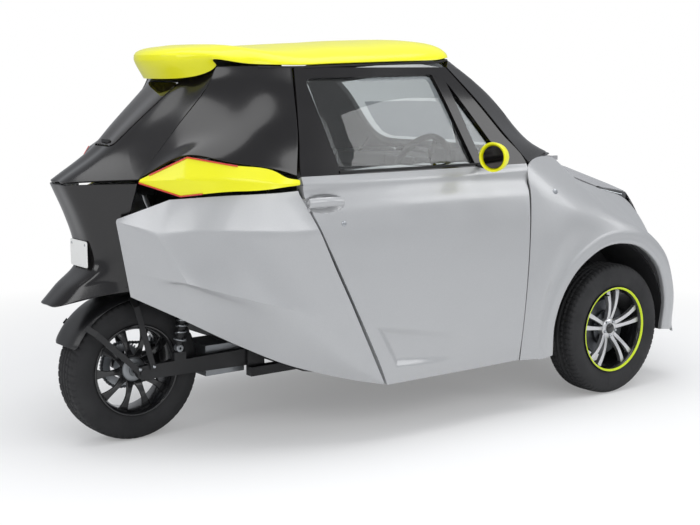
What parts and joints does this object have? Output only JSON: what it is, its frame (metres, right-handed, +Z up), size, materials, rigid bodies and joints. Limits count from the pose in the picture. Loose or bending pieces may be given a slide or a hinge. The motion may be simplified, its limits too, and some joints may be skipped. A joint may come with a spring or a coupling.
{
  "type": "three wheeled car",
  "caption": "Small electric three wheeled coupe with a wedge-shaped faceted body, steered wheels in front and one driven wheel behind under an open tail.",
  "frame": {"origin": "on the ground, midway along the car and on its centre plane", "axes": "+X forward, +Y to the car's left, +Z up"},
  "size_m": [2.901, 1.7024, 1.535],
  "materials": {
    "silver_paint": "gloss",
    "yellow_paint": "gloss",
    "black_paint": "gloss",
    "frame_paint": "satin",
    "glass": "clear",
    "lamp_lens": "clear",
    "moulded_black": "grained",
    "plate_white": "gloss",
    "seat_cloth": "woven",
    "bare_aluminium": "cast",
    "bare_steel": "satin",
    "machined_alloy": "machined",
    "rim_black": "gloss",
    "tyre": "moulded"
  },
  "bodies": {
    "chassis": {"chassis_frame": "frame_paint", "floor_tub": "frame_paint", "cabin_frame": "frame_paint", "roof_panel": "yellow_paint", "windscreen_frame": "black_paint", "windscreen": "glass", "front_fenders": "silver_paint", "front_bumper": "silver_paint", "nose_mask": "black_paint", "headlamps": "lamp_lens", "arch_liners": "moulded_black", "rear_quarters": "silver_paint", "rear_side_panels": "black_paint", "rear_window_surround": "black_paint", "tail_fascia": "black_paint", "tail_wedges": "yellow_paint", "number_plate": "plate_white", "dashboard": "moulded_black", "seat_cushions": "seat_cloth", "seat_backs": "seat_cloth", "battery_pack": "bare_aluminium", "drive_motor": "bare_aluminium", "suspension_arms": "frame_paint", "front_dampers": "bare_steel", "swingarm": "frame_paint", "rear_dampers": "bare_steel", "rear_mudguard": "moulded_black"},
    "door_left": {"door_left": "silver_paint", "door_glass_left": "glass", "mirror_left": "yellow_paint"},
    "door_right": {"door_right": "silver_paint", "door_glass_right": "glass", "mirror_right": "yellow_paint"},
    "bonnet": {"bonnet": "silver_paint"},
    "hatch": {"hatch_frame": "moulded_black", "hatch_glass": "glass"},
    "steering_wheel": {"steering_wheel": "moulded_black"},
    "knuckle_left": {"knuckle_left": "bare_steel"},
    "knuckle_right": {"knuckle_right": "bare_steel"},
    "wheel_front_left": {"rim_front_left": "machined_alloy", "tyre_front_left": "tyre"},
    "wheel_front_right": {"rim_front_right": "machined_alloy", "tyre_front_right": "tyre"},
    "wheel_rear": {"rim_rear": "rim_black", "tyre_rear": "tyre"}
  },
  "joints": [
    {"name": "door_left_hinge", "type": "hinge", "parent": "chassis", "child": "door_left", "pos_m": [0.3025, 0.68, 0.5], "axis": [0, 0, -1], "range_deg": [0, 65]},
    {"name": "door_right_hinge", "type": "hinge", "parent": "chassis", "child": "door_right", "pos_m": [0.3025, -0.68, 0.5], "axis": [0, 0, 1], "range_deg": [0, 65]},
    {"name": "bonnet_hinge", "type": "hinge", "parent": "chassis", "child": "bonnet", "pos_m": [0.6355, 0, 1.03], "axis": [0, -1, 0], "range_deg": [0, 36]},
    {"name": "hatch_hinge", "type": "hinge", "parent": "chassis", "child": "hatch", "pos_m": [-0.947, 0, 1.35], "axis": [0, 1, 0], "range_deg": [0, 60]},
    {"name": "steering_wheel_turn", "type": "hinge", "parent": "chassis", "child": "steering_wheel", "pos_m": [0.0985, -0.29, 0.985], "axis": [-0.9063, 0, 0.4226], "range_deg": [-338, 338]},
    {"name": "steer_left", "type": "hinge", "parent": "chassis", "child": "knuckle_left", "pos_m": [0.8955, 0.538, 0.196], "axis": [-0.0222, -0.1557, 0.9876], "range_deg": [-26, 26]},
    {"name": "steer_right", "type": "hinge", "parent": "chassis", "child": "knuckle_right", "pos_m": [0.8955, -0.538, 0.196], "axis": [-0.0222, 0.1557, 0.9876], "range_deg": [-26, 26]},
    {"name": "wheel_front_left_spin", "type": "hinge", "parent": "knuckle_left", "child": "wheel_front_left", "pos_m": [0.8955, 0.61, 0.287], "axis": [0, 1, 0], "continuous": true},
    {"name": "wheel_front_right_spin", "type": "hinge", "parent": "knuckle_right", "child": "wheel_front_right", "pos_m": [0.8955, -0.61, 0.287], "axis": [0, 1, 0], "continuous": true},
    {"name": "wheel_rear_spin", "type": "hinge", "parent": "chassis", "child": "wheel_rear", "pos_m": [-1.1165, 0, 0.2735], "axis": [0, 1, 0], "continuous": true}
  ],
  "couplings": [
    {"joint": "steer_left", "follows": "steering_wheel_turn", "ratio": 0.076923},
    {"joint": "steer_right", "follows": "steering_wheel_turn", "ratio": 0.076923}
  ]
}
